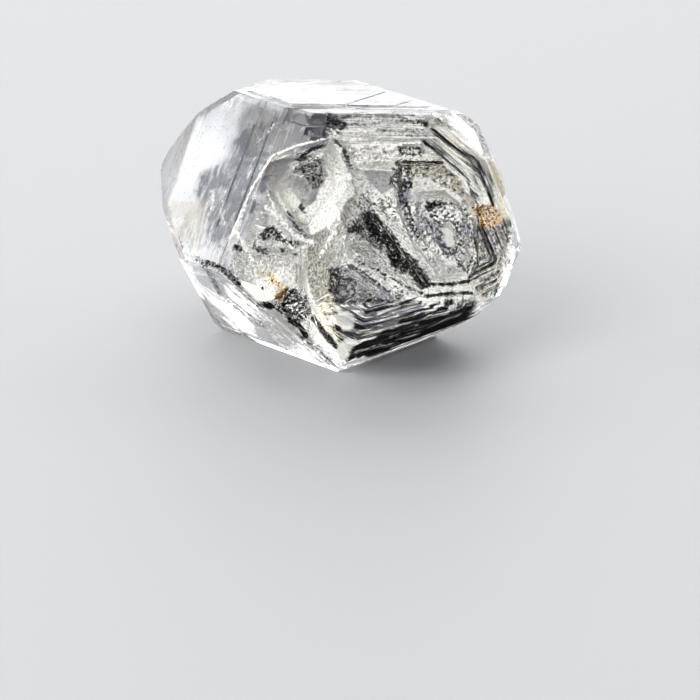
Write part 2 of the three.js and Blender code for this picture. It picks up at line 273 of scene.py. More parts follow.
# Marks on the near side. The dark speckled marks and the even grey marks are painted shade, put where the glass
# shows dark reflections and refractions. The white marks are painted highlights. Haze is frosted, tan and rust are
# stains.
painted_shade = [
    # the left window: its dark pocket, cracks and rim
    mark(0.5, 5, (298, 158), (317, 160), (320, 172), (316, 184), (308, 172), (299, 168), filled=True),
    mark(0.9, 3, (298, 160), (312, 150), (326, 146)),
    mark(0.6, 3, (284, 205), (296, 225), (307, 238)),
    mark(0.8, 3, (300, 205), (306, 213)),
    # the band below it, and the notch beside it
    mark(0.75, 7, (264, 236), (270, 230), (278, 235)),
    mark(0.6, 5, (280, 240), (296, 244)),
    mark(0.6, 5, (255, 246), (266, 252)),
    mark(1.0, 4, (236, 246), (240, 249)),
    mark(0.9, 3, (283, 250)), mark(0.9, 3, (295, 254)),
    # the cracked bend at the foot of the left side
    mark(0.66, 6, (278, 305), (290, 294), (304, 298), (308, 312), (298, 322), filled=True),
    mark(1.0, 4, (290, 320), (300, 326), (306, 336)),
    mark(0.8, 5, (258, 304), (272, 306)),
    mark(0.85, 5, (312, 318), (324, 334), (336, 346)),
    mark(0.5, 5, (328, 300), (336, 312)),
    # the shelf under the top edge
    mark(0.45, 5, (330, 117), (400, 117), (430, 119), (428, 127), (350, 130), (330, 128), filled=True),
    mark(0.7, 5, (332, 122), (346, 124), (340, 132)),
    mark(0.9, 4, (400, 120), (414, 121), (427, 125)),
    mark(0.5, 4, (350, 134), (362, 137), (378, 136), (398, 133), (418, 138)),
    mark(0.8, 2, (398, 147), (420, 149), (419, 155), (403, 154), (398, 147)),
    mark(0.7, 3, (386, 152)),
    mark(0.8, 3, (398, 161), (420, 162), (442, 163)),
    mark(0.8, 3, (336, 142), (344, 150), (351, 166)),
    mark(0.6, 3, (330, 118), (324, 136)),
    # the ledges that step down to the right
    mark(0.75, 3, (432, 128), (450, 143), (478, 162), (484, 175)),
    mark(0.6, 3, (438, 119), (458, 134), (484, 156)),
    mark(0.75, 3, (424, 142), (440, 155), (455, 166), (468, 178), (471, 192), (478, 206)),
    mark(0.5, 3, (446, 150), (470, 166), (480, 180)),
    mark(0.6, 5, (480, 165), (490, 180), (492, 205)),
    # the right window
    mark(0.6, 5, (396, 163), (409, 163), (411, 185), (402, 196), (394, 184), filled=True),
    mark(0.6, 7, (402, 196), (408, 214), (416, 232)),
    mark(0.75, 7, (428, 206), (441, 204)),
    mark(0.38, 9, (408, 208), (468, 206), (474, 238), (458, 256), (430, 242), (412, 236), filled=True),
    mark(0.6, 4, (458, 262), (466, 270), (472, 260)),
    mark(0.5, 6, (441, 220), (438, 236), (444, 251), (453, 253), (460, 240), (457, 224)),
    mark(0.52, 7, (480, 228), (508, 224), (504, 262), (490, 298), (474, 286), filled=True),
    mark(0.7, 4, (494, 228), (498, 242)),
    mark(0.35, 5, (412, 162), (440, 164), (468, 194), (442, 190), (414, 176), filled=True),
    # the rib between the windows
    mark(
        0.27, 6, (340, 200), (350, 192), (344, 222), (332, 240), (326, 262), (332, 300), (330, 318), (313, 300),
        (306, 270), (312, 246), filled=True,
    ),
    # the trough down the middle
    mark(0.4, 8, (356, 205), (372, 196), (394, 214), (380, 216), filled=True),
    mark(
        0.25, 8, (348, 228), (366, 216), (380, 218), (404, 248), (424, 284), (396, 274), (360, 262), (346, 246),
        filled=True,
    ),
    mark(0.8, 6, (351, 230), (362, 228)),
    mark(0.85, 11, (369, 217), (377, 235), (392, 244), (397, 262), (413, 267), (424, 282)),
    mark(0.8, 9, (386, 233)), mark(0.85, 9, (404, 268)), mark(0.7, 7, (420, 272)),
    mark(0.5, 8, (352, 226), (368, 214), (378, 216), (394, 238), (380, 246), (364, 236), filled=True),
    mark(0.8, 3, (392, 236), (404, 252), (418, 262)),
    mark(0.8, 4, (375, 215), (389, 234), (404, 254), (423, 281)),
    mark(0.3, 6, (386, 200), (402, 206), (440, 258), (434, 276), (404, 240), filled=True),
    # the lower window: its dark wall and lined floor
    mark(0.66, 4, (333, 270), (341, 269), (340, 292), (329, 290), filled=True),
    mark(0.55, 5, (346, 272), (352, 268), (398, 300), (344, 308), (336, 298), filled=True),
    mark(0.8, 2.5, (352, 266), (370, 278), (386, 290), (398, 299)),
    mark(0.7, 2, (360, 262), (386, 275), (412, 289), (424, 293)),
    mark(0.6, 1.5, (356, 264), (384, 279), (412, 298)),
    mark(0.85, 3, (340, 303), (360, 300), (392, 301)),
    mark(0.8, 3, (366, 312), (382, 308), (398, 306)),
    # the ridges under the right window
    mark(0.8, 3, (424, 284), (448, 284), (470, 281)),
    mark(0.8, 3, (426, 296), (452, 293), (472, 293)),
    mark(0.6, 2.5, (420, 309), (446, 302), (474, 300)),
    mark(0.5, 8, (342, 300), (400, 304), (420, 310), (400, 322), (345, 322), filled=True),
    mark(0.38, 4, (436, 124), (480, 156), (488, 180), (478, 200), (466, 176), (430, 146), filled=True),
    # the stripes below them, and the dark face at the foot
    mark(
        0.57, 8, (350, 300), (420, 306), (470, 298), (474, 306), (430, 318), (390, 330), (350, 338), (340, 330),
        filled=True,
    ),
    mark(0.65, 6, (334, 326), (374, 322), (396, 328), (380, 341), (346, 343), filled=True),
    mark(0.9, 3, (346, 328), (362, 327)),
    mark(0.9, 3, (400, 322), (424, 316), (446, 310)),
    mark(0.7, 3, (360, 333), (376, 334)),
    mark(
        1.0, 5, (346, 358), (358, 349), (386, 334), (420, 326), (446, 318), (472, 308), (462, 326), (430, 339),
        (386, 352), filled=True,
    ),
    # the strip along the lower left
    mark(0.85, 5, (206, 262), (224, 270), (238, 284)),
    mark(0.5, 5, (226, 300), (244, 314), (262, 325)),
    mark(0.5, 4, (196, 256), (212, 278), (220, 294)),
    mark(0.5, 4, (240, 288), (254, 302), (262, 308)),
    mark(0.5, 5, (300, 334), (318, 350), (328, 360)),
]
# Painted shade in an even grey, where the glass shows dark reflections and refractions.
grey_shade = [
    mark(1.0, 6, (340, 304), (420, 310), (398, 326), (342, 326), filled=True),
    mark(0.5, 5, (358, 262), (384, 272), (420, 294), (410, 300), (380, 284), filled=True),
    mark(1.0, 4, (333, 270), (341, 269), (340, 292), (329, 290), filled=True),
    mark(0.9, 4, (344, 270), (352, 268), (400, 301), (344, 308), (338, 298), filled=True),
    mark(0.4, 6, (334, 326), (374, 322), (396, 328), (380, 341), (344, 346), filled=True),
    mark(
        1.0, 5, (344, 360), (386, 334), (446, 316), (476, 304), (464, 328), (430, 341), (386, 354), filled=True,
    ),
    mark(0.25, 8, (480, 228), (508, 224), (504, 262), (490, 298), (474, 286), filled=True),
    mark(0.3, 6, (440, 118), (484, 154), (494, 180), (480, 200), (466, 178), (430, 142), filled=True),
    mark(
        0.6, 8, (396, 196), (412, 180), (470, 200), (476, 240), (462, 270), (440, 278), (420, 250), filled=True,
    ),
    mark(
        0.5, 10, (286, 158), (322, 142), (344, 166), (350, 188), (330, 222), (306, 240), (270, 206),
        filled=True,
    ),
    mark(0.35, 8, (256, 226), (300, 242), (306, 256), (262, 258), (244, 246), filled=True),
    mark(
        0.4, 10, (340, 200), (350, 196), (344, 226), (334, 262), (338, 300), (344, 340), (326, 330), (304, 280),
        (312, 236), filled=True,
    ),
    mark(
        1.2, 13, (246, 138), (270, 127), (298, 122), (326, 126), (318, 139), (294, 147), (272, 156), (262, 176),
        (250, 200),
        (240, 212), (232, 200), (234, 176), (240, 152), filled=True,
    ),
    mark(
        0.95, 13, (206, 180), (224, 168), (244, 178), (248, 192), (232, 226), (216, 236), (206, 212),
        filled=True,
    ),
    mark(0.35, 12, (250, 108), (298, 110), (330, 118), (300, 126), (262, 134), (248, 128), filled=True),
    mark(
        0.45, 6, (252, 196), (272, 160), (286, 170), (272, 205), (262, 232), (240, 240), (234, 234),
        filled=True,
    ),
    mark(0.5, 6, (284, 170), (300, 172), (312, 180), (318, 196), (300, 198), (286, 190), filled=True),
    mark(0.1, 6, (372, 172), (394, 168), (390, 190), (374, 186), filled=True),
    mark(0.4, 8, (350, 250), (372, 252), (366, 264), filled=True),
]
haze = [
    mark(
        0.9, 14, (166, 204), (170, 160), (186, 130), (216, 108), (238, 118), (240, 146), (214, 160), (200, 186),
        (192, 208), filled=True,
    ),
    mark(0.7, 10, (240, 100), (262, 100), (300, 112), (262, 124), (240, 120), filled=True),
    mark(
        0.4, 5, (326, 178), (346, 180), (350, 190), (326, 224), (312, 222), (302, 210), (318, 204), filled=True,
    ),
    mark(
        0.4, 8, (242, 276), (262, 256), (298, 262), (300, 276), (290, 287), (270, 299), (256, 301), (242, 290),
        filled=True,
    ),
]
# Painted highlights: white where the glass shows bright glints, lit walls and steps.
painted_highlights = [
    # the thin edge of the big face, and the streaks beside it
    mark(1.0, 1.8, (229, 240), (252, 188), (272, 156), (298, 145), (325, 139)),
    mark(0.5, 2.5, (258, 142), (270, 130), (276, 122)), mark(0.7, 3, (209, 214), (214, 204), (212, 190)),
    mark(0.5, 3, (224, 222), (222, 206), (226, 192)), mark(0.5, 2.5, (238, 226), (246, 206)),
    mark(0.5, 2.5, (226, 180), (236, 168)), mark(0.6, 2.5, (204, 206), (212, 196)),
    # the left window's bright wall, rim and chips
    mark(
        0.85, 6, (328, 176), (346, 178), (350, 190), (328, 224), (312, 226), (302, 214), (320, 202),
        filled=True,
    ),
    mark(0.75, 6, (327, 150), (336, 150), (347, 178), (330, 180), filled=True),
    mark(0.9, 4, (312, 232), (330, 222), (348, 196)),
    mark(1.0, 6, (282, 196), (292, 190), (296, 200), (286, 209), filled=True),
    mark(1.0, 2.2, (297, 162), (291, 166), (292, 174), (297, 175)),
    mark(0.8, 4, (266, 206), (280, 220), (296, 236), (312, 242)),
    mark(0.7, 3, (268, 192), (274, 208), (288, 226)),
    mark(0.7, 3, (326, 146), (342, 160), (350, 176)),
    # the band and lobe under it
    mark(
        0.4, 8, (246, 274), (262, 257), (296, 262), (298, 274), (288, 286), (270, 298), (256, 300), (244, 290),
        filled=True,
    ),
    mark(0.65, 6, (262, 280), (294, 270), (284, 288), (268, 300), (256, 298), filled=True),
    mark(0.7, 4, (236, 232), (248, 250), (252, 262)), mark(0.5, 4, (258, 222), (262, 212)),
    # the shelf, its lit steps and the outer facet
    mark(0.6, 3, (334, 131), (350, 132), (378, 130), (420, 130)),
    mark(0.8, 4, (352, 146), (376, 144), (398, 145), (420, 143)),
    mark(0.6, 4, (352, 158), (376, 160), (396, 158), (430, 158)),
    mark(0.9, 4, (336, 146), (340, 160), (346, 170)),
    mark(0.5, 3, (444, 128), (466, 144), (484, 160)),
    mark(0.6, 3, (430, 138), (446, 150), (462, 163), (474, 180)),
    mark(0.55, 4, (344, 119), (420, 119), (424, 127), (350, 127), filled=True),
    mark(0.55, 4, (332, 131), (420, 131), (422, 140), (332, 139), filled=True),
    mark(0.6, 5, (350, 144), (396, 143), (396, 158), (356, 160), filled=True),
    mark(0.45, 5, (446, 112), (466, 113), (484, 128), (492, 160), (484, 156), (462, 136), filled=True),
    # the right window
    mark(1.5, 6, (448, 228), (450, 243)),
    mark(1.0, 3, (465, 264)), mark(0.85, 7, (418, 180), (440, 188), (458, 200)),
    mark(0.7, 5, (420, 252), (428, 264), (436, 274)), mark(0.6, 3, (408, 236), (422, 252)),
    mark(0.9, 8, (494, 166), (503, 190), (503, 212)), mark(0.5, 6, (478, 210), (496, 220)),
    # the beams and ridges round the trough
    mark(1.0, 3, (384, 268)), mark(0.4, 5, (358, 264), (382, 277), (412, 297)),
    mark(0.42, 4, (346, 272), (354, 270), (396, 298), (346, 305), filled=True),
    mark(0.7, 5, (303, 272), (308, 292), (316, 312)), mark(0.6, 4, (342, 206), (334, 232), (320, 256)),
    mark(0.6, 3, (344, 236), (347, 250), (352, 260)), mark(0.6, 3, (374, 207), (396, 232), (424, 266)),
    mark(0.6, 3, (424, 290), (450, 288), (474, 287)), mark(0.6, 3, (424, 301), (452, 298), (480, 298)),
    mark(0.8, 3, (378, 314), (398, 306)),
    # the foot
    mark(0.45, 6, (240, 300), (262, 318), (300, 345), (290, 348), (250, 325), filled=True),
    mark(0.9, 5, (338, 316), (350, 315), (354, 322), (342, 325), filled=True),
    mark(0.9, 5, (340, 347), (352, 343), (352, 350), (340, 356), filled=True),
    mark(0.8, 2.5, (312, 324), (322, 338)), mark(0.9, 3, (340, 366), (372, 358), (404, 350), (440, 338)),
    mark(0.6, 2.5, (356, 352), (386, 344), (420, 334)), mark(0.6, 2, (390, 338), (430, 327), (462, 314)),
]
combed_zones = [
    mark(
        1.0, 5, (338, 302), (400, 304), (426, 300), (470, 306), (462, 318), (400, 336), (350, 353), (337, 347),
        filled=True,
    ),
    mark(0.5, 5, (420, 290), (430, 284), (480, 281), (494, 298), (470, 310), (426, 302), filled=True),
    mark(
        1.0, 4, (434, 118), (486, 156), (494, 176), (492, 204), (476, 208), (464, 180), (424, 143), filled=True,
    ),
    mark(0.25, 4, (346, 272), (352, 268), (400, 302), (344, 309), filled=True),
    mark(
        0.8, 4, (240, 284), (262, 304), (300, 332), (330, 356), (318, 344), (290, 318), (262, 298), filled=True,
    ),
    mark(
        1.0, 5, (344, 362), (386, 332), (446, 314), (480, 302), (466, 330), (430, 343), (386, 356), filled=True,
    ),
    mark(
        0.7, 8, (480, 165), (492, 180), (500, 215), (508, 250), (492, 298), (476, 288), (484, 240), (474, 205),
        filled=True,
    ),
    mark(0.6, 5, (340, 116), (430, 118), (430, 142), (346, 142), filled=True),
]
tan = [
    mark(
        0.8, 7, (346, 196), (352, 192), (346, 214), (332, 238), (326, 262), (332, 300), (342, 330), (338, 348),
        (326, 335), (313, 300), (304, 270), (310, 250), (326, 226), filled=True,
    ),
    mark(0.95, 5, (406, 161), (440, 163), (472, 202), (458, 196), (436, 180), (412, 170), filled=True),
    mark(0.3, 6, (416, 174), (440, 184), (460, 204), (440, 200), (420, 190), filled=True),
    mark(0.4, 6, (272, 160), (286, 158), (280, 194), (270, 190), filled=True),
    mark(0.5, 6, (430, 122), (452, 138), (480, 160), (466, 160), (440, 142), filled=True),
    mark(0.4, 8, (350, 142), (396, 144), (396, 158), (356, 160), filled=True),
    mark(0.5, 8, (476, 240), (504, 236), (498, 280), (480, 300), filled=True),
    mark(0.4, 8, (170, 208), (198, 206), (196, 240), (176, 244), filled=True),
    mark(
        0.35, 6, (244, 276), (262, 258), (296, 262), (298, 276), (288, 288), (270, 300), (254, 300),
        filled=True,
    ),
    mark(
        0.15, 6, (206, 262), (240, 288), (300, 334), (326, 362), (300, 352), (240, 320), (212, 290),
        filled=True,
    ),
]
rust = [
    mark(0.9, 4, (262, 273)), mark(1.0, 5, (270, 276), (276, 283)), mark(1.0, 6, (284, 289), (279, 297)),
    mark(0.9, 8, (478, 212), (490, 208), (498, 218), (484, 222), filled=True),
    mark(0.4, 8, (494, 166), (503, 190), (503, 214)),
    mark(0.3, 8, (174, 252), (190, 284), (210, 310)),
]



# How far a spot is in from the outline of the big face, less how deep it is: the ledges follow its contours.
SAME_WAY = 0.9  # the outline is made by the faces turned further from the big face than this cosine
RIM_FACES = [(normal, distance) for normal, distance in OUTER_FACES if normal.dot(BIG_NORMAL) < SAME_WAY]


def contour(place):
    spot = Vector(place)
    return (max(normal.dot(spot) - distance for normal, distance in RIM_FACES) - BIG_NORMAL.dot(spot)) * MM


masks = {
    "hollowed": hollowed, "painted_shade": painted_shade, "grey_shade": grey_shade, "haze": haze, "painted_highlights": painted_highlights, "combed": combed_zones,
    "contour": [contour(place) for place in seen[3]], "tan": tan, "rust": rust,
}
for name, layers in masks.items():
    values = np.max(np.atleast_2d(layers), axis=0)
    crystal_mesh.attributes.new(name, "FLOAT", "POINT").data.foreach_set("value", values.astype(np.float32))


def node(tree, kind, **settings):
    made = tree.nodes.new(kind)
    for key, value in settings.items():
        setattr(made, key, value)
    return made


def feed(tree, socket, value):
    """Gives a socket a plain value, or links another socket to it."""
    if isinstance(value, bpy.types.NodeSocket):
        tree.links.new(value, socket)
    else:
        socket.default_value = value


def number(tree, operation, *values, clamp=False):
    """A Math node on values that are sockets or plain numbers."""
    made = node(tree, "ShaderNodeMath", operation=operation, use_clamp=clamp)
    for socket, value in zip(made.inputs, values):
        feed(tree, socket, value)
    return made.outputs[0]


def ramp(tree, value, start, gain, offset):
    """How far a value is past its start, times a gain, plus an offset, kept between 0 and 1."""
    return number(tree, "MULTIPLY_ADD", number(tree, "SUBTRACT", value, start), gain, offset, clamp=True)


def attribute(tree, name):
    return node(tree, "ShaderNodeAttribute", attribute_name=name).outputs["Fac"]


def mix_colour(tree, share, first, second):
    made = node(tree, "ShaderNodeMix", data_type="RGBA")
    for name, value in (("Factor", share), ("A", first), ("B", second)):
        feed(tree, made.inputs[name], value)
    return made.outputs["Result"]


def finish_with(piece, name, settings):
    """Gives a piece a new material with these plain settings."""
    material = bpy.data.materials.new(name)
    material.use_nodes = True
    surface = material.node_tree.nodes["Principled BSDF"]
    for key, value in settings.items():
        surface.inputs[key].default_value = value
    piece.data.materials.append(material)
    return material.node_tree, surface


# Noise on the object's own coordinates, turned to the big face's axes u, v, w. Stretch multiplies each of them.
grain_group = bpy.data.node_groups.new("grain", "ShaderNodeTree")
for name, kind in (("Scale", "Float"), ("Detail", "Float"), ("Sharpness", "Float"), ("Stretch", "Vector")):
    grain_group.interface.new_socket(name, in_out="INPUT", socket_type="NodeSocket" + kind)
grain_group.interface.new_socket("Grain", in_out="OUTPUT", socket_type="NodeSocketFloat")
given = node(grain_group, "NodeGroupInput").outputs
turn = node(grain_group, "ShaderNodeMapping", vector_type="POINT")
turn.inputs["Rotation"].default_value = TO_BIG_FACE.to_euler("XYZ")
grain_group.links.new(node(grain_group, "ShaderNodeTexCoord").outputs["Object"], turn.inputs["Vector"])
fit = node(grain_group, "ShaderNodeVectorMath", operation="MULTIPLY")
grain_group.links.new(turn.outputs["Vector"], fit.inputs[0])
grain_group.links.new(given["Stretch"], fit.inputs[1])
texture = node(grain_group, "ShaderNodeTexNoise")
for name, socket in (("Scale", "Scale"), ("Detail", "Detail"), ("Sharpness", "Roughness")):
    grain_group.links.new(given[name], texture.inputs[socket])
grain_group.links.new(fit.outputs["Vector"], texture.inputs["Vector"])
grain_group.links.new(texture.outputs["Fac"], node(grain_group, "NodeGroupOutput").inputs["Grain"])


def grain(tree, scale, detail, stretch=(1, 1, 1), sharpness=0.5):
    made = node(tree, "ShaderNodeGroup", node_tree=grain_group)
    for name, value in (("Scale", scale), ("Detail", detail), ("Sharpness", sharpness), ("Stretch", stretch)):
        made.inputs[name].default_value = value
    return made.outputs["Grain"]


# Etching leaves pits, or fine lines along the contours where the surface is combed. A spot is painted dark where
# their
# noise passes the threshold: painted shade, which the dark marks and the hollowed part spread and the painted
# highlights hold back.
PIT_SCALE, PIT_STRETCH, PIT_SHARPNESS = 6500, (1, 1, 2.2), 0.8
COMB_ALONG, COMB_ACROSS, COMB_RANGE = 300, 6600, 0.7  # waves per metre, and how strong they are beside the pits
# How much the painted shade marks and the hollowed part lower the threshold, and how much the painted highlights
# raise it.
PAINTED_SHADE_DARKENS, HOLLOW_DARKENS, HIGHLIGHT_LIGHTENS = 0.2, 0.02, 0.08
SPECKLE_CONTRAST = 16
etching = bpy.data.node_groups.new("etching", "ShaderNodeTree")
etching.interface.new_socket("Threshold", in_out="INPUT", socket_type="NodeSocketFloat")
for name in ("Relief", "Combing", "Painted shade"):
    etching.interface.new_socket(name, in_out="OUTPUT", socket_type="NodeSocketFloat")
combed = attribute(etching, "combed")
pits = grain(etching, PIT_SCALE, 8, PIT_STRETCH, PIT_SHARPNESS)
pits = number(etching, "MULTIPLY", pits, number(etching, "SUBTRACT", 1, combed))
sides = node(etching, "ShaderNodeSeparateXYZ")
etching.links.new(node(etching, "ShaderNodeTexCoord").outputs["Object"], sides.inputs[0])
place = node(etching, "ShaderNodeCombineXYZ")
for axis, value, waves in (
    ("X", sides.outputs["X"], COMB_ALONG), ("Y", sides.outputs["Y"], COMB_ALONG),
    ("Z", attribute(etching, "contour"), COMB_ACROSS),
):
    etching.links.new(number(etching, "MULTIPLY", value, waves), place.inputs[axis])
contour_lines = node(etching, "ShaderNodeTexNoise")
for name, value in (("Scale", 1), ("Detail", 7), ("Roughness", 0.8)):
    contour_lines.inputs[name].default_value = value
etching.links.new(place.outputs[0], contour_lines.inputs["Vector"])
softened = number(etching, "MULTIPLY", contour_lines.outputs["Fac"], COMB_RANGE)
softened = number(etching, "ADD", softened, (1 - COMB_RANGE) / 2)
combing = number(etching, "MULTIPLY", softened, combed)
relief = number(etching, "ADD", pits, combing)
painted_darkening = number(etching, "MULTIPLY", attribute(etching, "painted_shade"), PAINTED_SHADE_DARKENS)
for name, operation, effect in (("hollowed", "ADD", HOLLOW_DARKENS), ("painted_highlights", "SUBTRACT", HIGHLIGHT_LIGHTENS)):
    painted_darkening = number(etching, operation, painted_darkening, number(etching, "MULTIPLY", attribute(etching, name), effect))
threshold = number(etching, "SUBTRACT", node(etching, "NodeGroupInput").outputs["Threshold"], painted_darkening)
dark = ramp(etching, relief, threshold, SPECKLE_CONTRAST, 0.5)
for value, socket in zip((relief, combing, dark), node(etching, "NodeGroupOutput").inputs):
    etching.links.new(value, socket)


def etched(tree, threshold):
    made = node(tree, "ShaderNodeGroup", node_tree=etching)
    made.inputs["Threshold"].default_value = threshold
    return made.outputs


QUARTZ_THRESHOLD = 0.6  # the height from which the surface's specks are painted near-black, as painted shade
RELIEF_DEPTH = 0.11 * MM
LINE_RELIEF, COMB_RELIEF = 0.2, 0.6  # beside the fine pits' relief of 1
FINE_SCALE, LINE_SCALE, CLOUD_SCALE, BLOTCH_SCALE, STREAK_SCALE = 5000, 900, 700, 1500, 1200  # waves per metre
LINE_STRETCH, STREAK_STRETCH = (0.12, 0.12, 2.2), (1, 1, 5)
POLISHED, ETCHED, HAZED = 0.01, 0.03, 1.1  # roughness, and what etching and haze add to it
PATTERN_CONTRAST = 4
MOTTLED_FROM, MOTTLE_CONTRAST, MOTTLE_STRENGTH = 0.5, 9, 0.72
LINED_FROM, LINE_CONTRAST, LINE_STRENGTH = 0.57, 12, 0.8
RUST_BASE = 0.4  # how much of the rust stain doesn't follow the blotches
# The glass's colours: clear, cream where etched, and tan and rust stains. The grey, the mottle in the pits, the
# grey along the growth lines and the near-black specks are painted shade.
CLEAR, CLEAR_ETCHED, GREY_SHADE = (1, 1, 1, 1), (1, 0.98, 0.83, 1), (0.05, 0.055, 0.075, 1)
TAN, SHADE_MOTTLE, LINE_SHADE_GREY = (0.5, 0.43, 0.25, 1), (0.15, 0.145, 0.13, 1), (0.12, 0.12, 0.13, 1)
SHADE_SPECKLE, RUST = (0.004, 0.004, 0.005, 1), (0.55, 0.22, 0.03, 1)
tree, glass = finish_with(clear_crystal, "quartz", {"IOR": 1.544, "Transmission Weight": 1.0})
etch = etched(tree, QUARTZ_THRESHOLD)
hollow = attribute(tree, "hollowed")
fine = grain(tree, FINE_SCALE, 5, sharpness=0.7)
lines = grain(tree, LINE_SCALE, 5, LINE_STRETCH)
ridges = number(tree, "MULTIPLY", etch["Combing"], COMB_RELIEF)
ridges = number(tree, "ADD", number(tree, "MULTIPLY", lines, LINE_RELIEF), ridges)
bump = node(tree, "ShaderNodeBump")
bump.inputs["Strength"].default_value = 1.0
bump.inputs["Distance"].default_value = RELIEF_DEPTH
tree.links.new(number(tree, "ADD", number(tree, "MULTIPLY", fine, hollow), ridges), bump.inputs["Height"])
tree.links.new(bump.outputs["Normal"], glass.inputs["Normal"])
clouded = number(tree, "MULTIPLY", grain(tree, CLOUD_SCALE, 4), HAZED)
hazy = number(tree, "MULTIPLY", attribute(tree, "haze"), clouded)
rough = number(tree, "ADD", number(tree, "MULTIPLY", hollow, ETCHED), POLISHED)
tree.links.new(number(tree, "ADD", rough, hazy), glass.inputs["Roughness"])

blotch = grain(tree, BLOTCH_SCALE, 4)
streak = grain(tree, STREAK_SCALE, 4, STREAK_STRETCH)
streaked, patchy = (
    number(tree, "SUBTRACT", number(tree, "MULTIPLY", pattern, PATTERN_CONTRAST), 1)
    for pattern in (streak, blotch)
)
mottled = ramp(tree, etch["Relief"], MOTTLED_FROM, MOTTLE_CONTRAST, 0.5)
lined = ramp(tree, lines, LINED_FROM, LINE_CONTRAST, 0)
# The glass's colour: clear or cream, tan stains, painted shade in grey, in the pits' mottle, along the growth
# lines and in dark specks, then rust.
tint = mix_colour(tree, hollow, CLEAR, CLEAR_ETCHED)
for share, strength, colour in (
    (attribute(tree, "grey_shade"), streaked, GREY_SHADE),
    (attribute(tree, "tan"), patchy, TAN),
    (mottled, number(tree, "MULTIPLY", hollow, MOTTLE_STRENGTH), SHADE_MOTTLE),
    (lined, LINE_STRENGTH, LINE_SHADE_GREY),
):
    tint = mix_colour(tree, number(tree, "MULTIPLY", share, strength), tint, colour)
tint = mix_colour(tree, etch["Painted shade"], tint, SHADE_SPECKLE)
rusted = number(tree, "MULTIPLY", attribute(tree, "rust"), number(tree, "ADD", blotch, RUST_BASE))
tree.links.new(mix_colour(tree, rusted, tint, RUST), glass.inputs["Base Color"])

# ---------------------------------------------------------------- the painted highlights
# A white film a few microns thick over the crystal, a painted highlight: it lies where the glass shows bright
# glints, lit walls and steps, and is stained with rust where the rust marks are.
FILM = 0.001 * MM
FOOT = 0.02 * MM  # no film lies under the crystal


def keep_in_box(form):
    for vert in form.verts:
        vert.co = [min(max(value, low), high) for value, low, high in zip(vert.co, *cad_box)]


def film(name, shares, least, lift):
    """A thin sheet over the part of the crystal's surface where the shares pass the least."""
    form = bmesh.new()
    form.from_mesh(crystal_mesh)
    bare = [
        face for face in form.faces
        if max(shares[vert.index] for vert in face.verts) < least or max(vert.co.z for vert in face.verts) < FOOT
    ]
    bmesh.ops.delete(form, geom=bare, context="FACES")
    form.normal_update()
    for vert in form.verts:
        vert.co += vert.normal * lift
    sheet = bmesh.ops.extrude_face_region(form, geom=form.faces, use_keep_orig=True)["geom"]
    for vert in (part for part in sheet if isinstance(part, bmesh.types.BMVert)):
        vert.co += vert.normal * FILM
    bmesh.ops.recalc_face_normals(form, faces=form.faces)
    keep_in_box(form)
    piece = shown(name, form)
    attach(piece, "root")
    return piece


HIGHLIGHT_WHITE, HIGHLIGHT_RUST_STAINED = (0.96, 0.955, 0.9, 1), (0.95, 0.8, 0.45, 1)
HIGHLIGHTED_FROM, HIGHLIGHT_LIFT = 0.05, 0.002 * MM
HIGHLIGHT_EDGE, HIGHLIGHT_SPREAD = 0.36, 0.24  # the relief that the faintest painted highlight covers up to, and how far more covers beyond
HIGHLIGHT_CONTRAST, HIGHLIGHT_OPACITY = 8, 0.85
highlight_film = film("highlight_film", np.max(painted_highlights, axis=0), HIGHLIGHTED_FROM, HIGHLIGHT_LIFT)
tree, highlight_surface = finish_with(highlight_film, "painted_highlight_white", {"Roughness": 0.7})
tree.links.new(mix_colour(tree, attribute(tree, "rust"), HIGHLIGHT_WHITE, HIGHLIGHT_RUST_STAINED), highlight_surface.inputs["Base Color"])
edge = number(tree, "ADD", number(tree, "MULTIPLY", attribute(tree, "painted_highlights"), HIGHLIGHT_SPREAD), HIGHLIGHT_EDGE)
cover = ramp(tree, edge, etched(tree, QUARTZ_THRESHOLD)["Relief"], HIGHLIGHT_CONTRAST, 0.3)
tree.links.new(number(tree, "MULTIPLY", cover, HIGHLIGHT_OPACITY), highlight_surface.inputs["Alpha"])

# ---------------------------------------------------------------- the painted shade film
# A black film a few microns thick on the pits and cracks and along the crystal's foot: painted shade, put where
# the glass shows dark reflections and refractions.
SHADE_FILM_BLACK = (0.012, 0.011, 0.01, 1)
SHADE_FILM_THRESHOLD = 0.665  # higher than the glass's own speck threshold, so the painted shade film covers less than the painted shade specks do
SHADE_FILM_FROM, SHADE_FILM_LIFT = 0.35, 0.004 * MM
painted_shade_film = film("painted_shade_film", np.max(painted_shade, axis=0), SHADE_FILM_FROM, SHADE_FILM_LIFT)
tree, shade_film_surface = finish_with(painted_shade_film, "painted_shade_black", {"Base Color": SHADE_FILM_BLACK, "Roughness": 1.0, "Specular IOR Level": 0.0})
tree.links.new(etched(tree, SHADE_FILM_THRESHOLD)["Painted shade"], shade_film_surface.inputs["Alpha"])

# ---------------------------------------------------------------- the veils
# Healed cracks inside the crystal, wavy sheets of tiny bubbles that scatter light. They formed as the crystal
# grew, and lie a little way in from its outer faces.
PITTED_FACES = [(BIG_NORMAL, 3.25), (pyramid_normal(240, 1), 8.1)]
VEIL_INSET = 0.3  # mm, how far a veil stays from the outer faces
VEIL_SHEET = 0.02 * MM
VEIL_WAVES, VEIL_WAVINESS = 0.35, 0.3  # waves per mm, and mm
VEIL_CELLS, VEIL_REACH = 80, 12 * MM  # the sheet that each veil is cut from
VEIL_LEFT, VEIL_RIGHT = -6.5, -2  # mm along the big face, between which the cover changes


def smooth_step(low, high, value):
    share = min(1, max(0, (value - low) / (high - low)))
    return share * share * (3 - 2 * share)


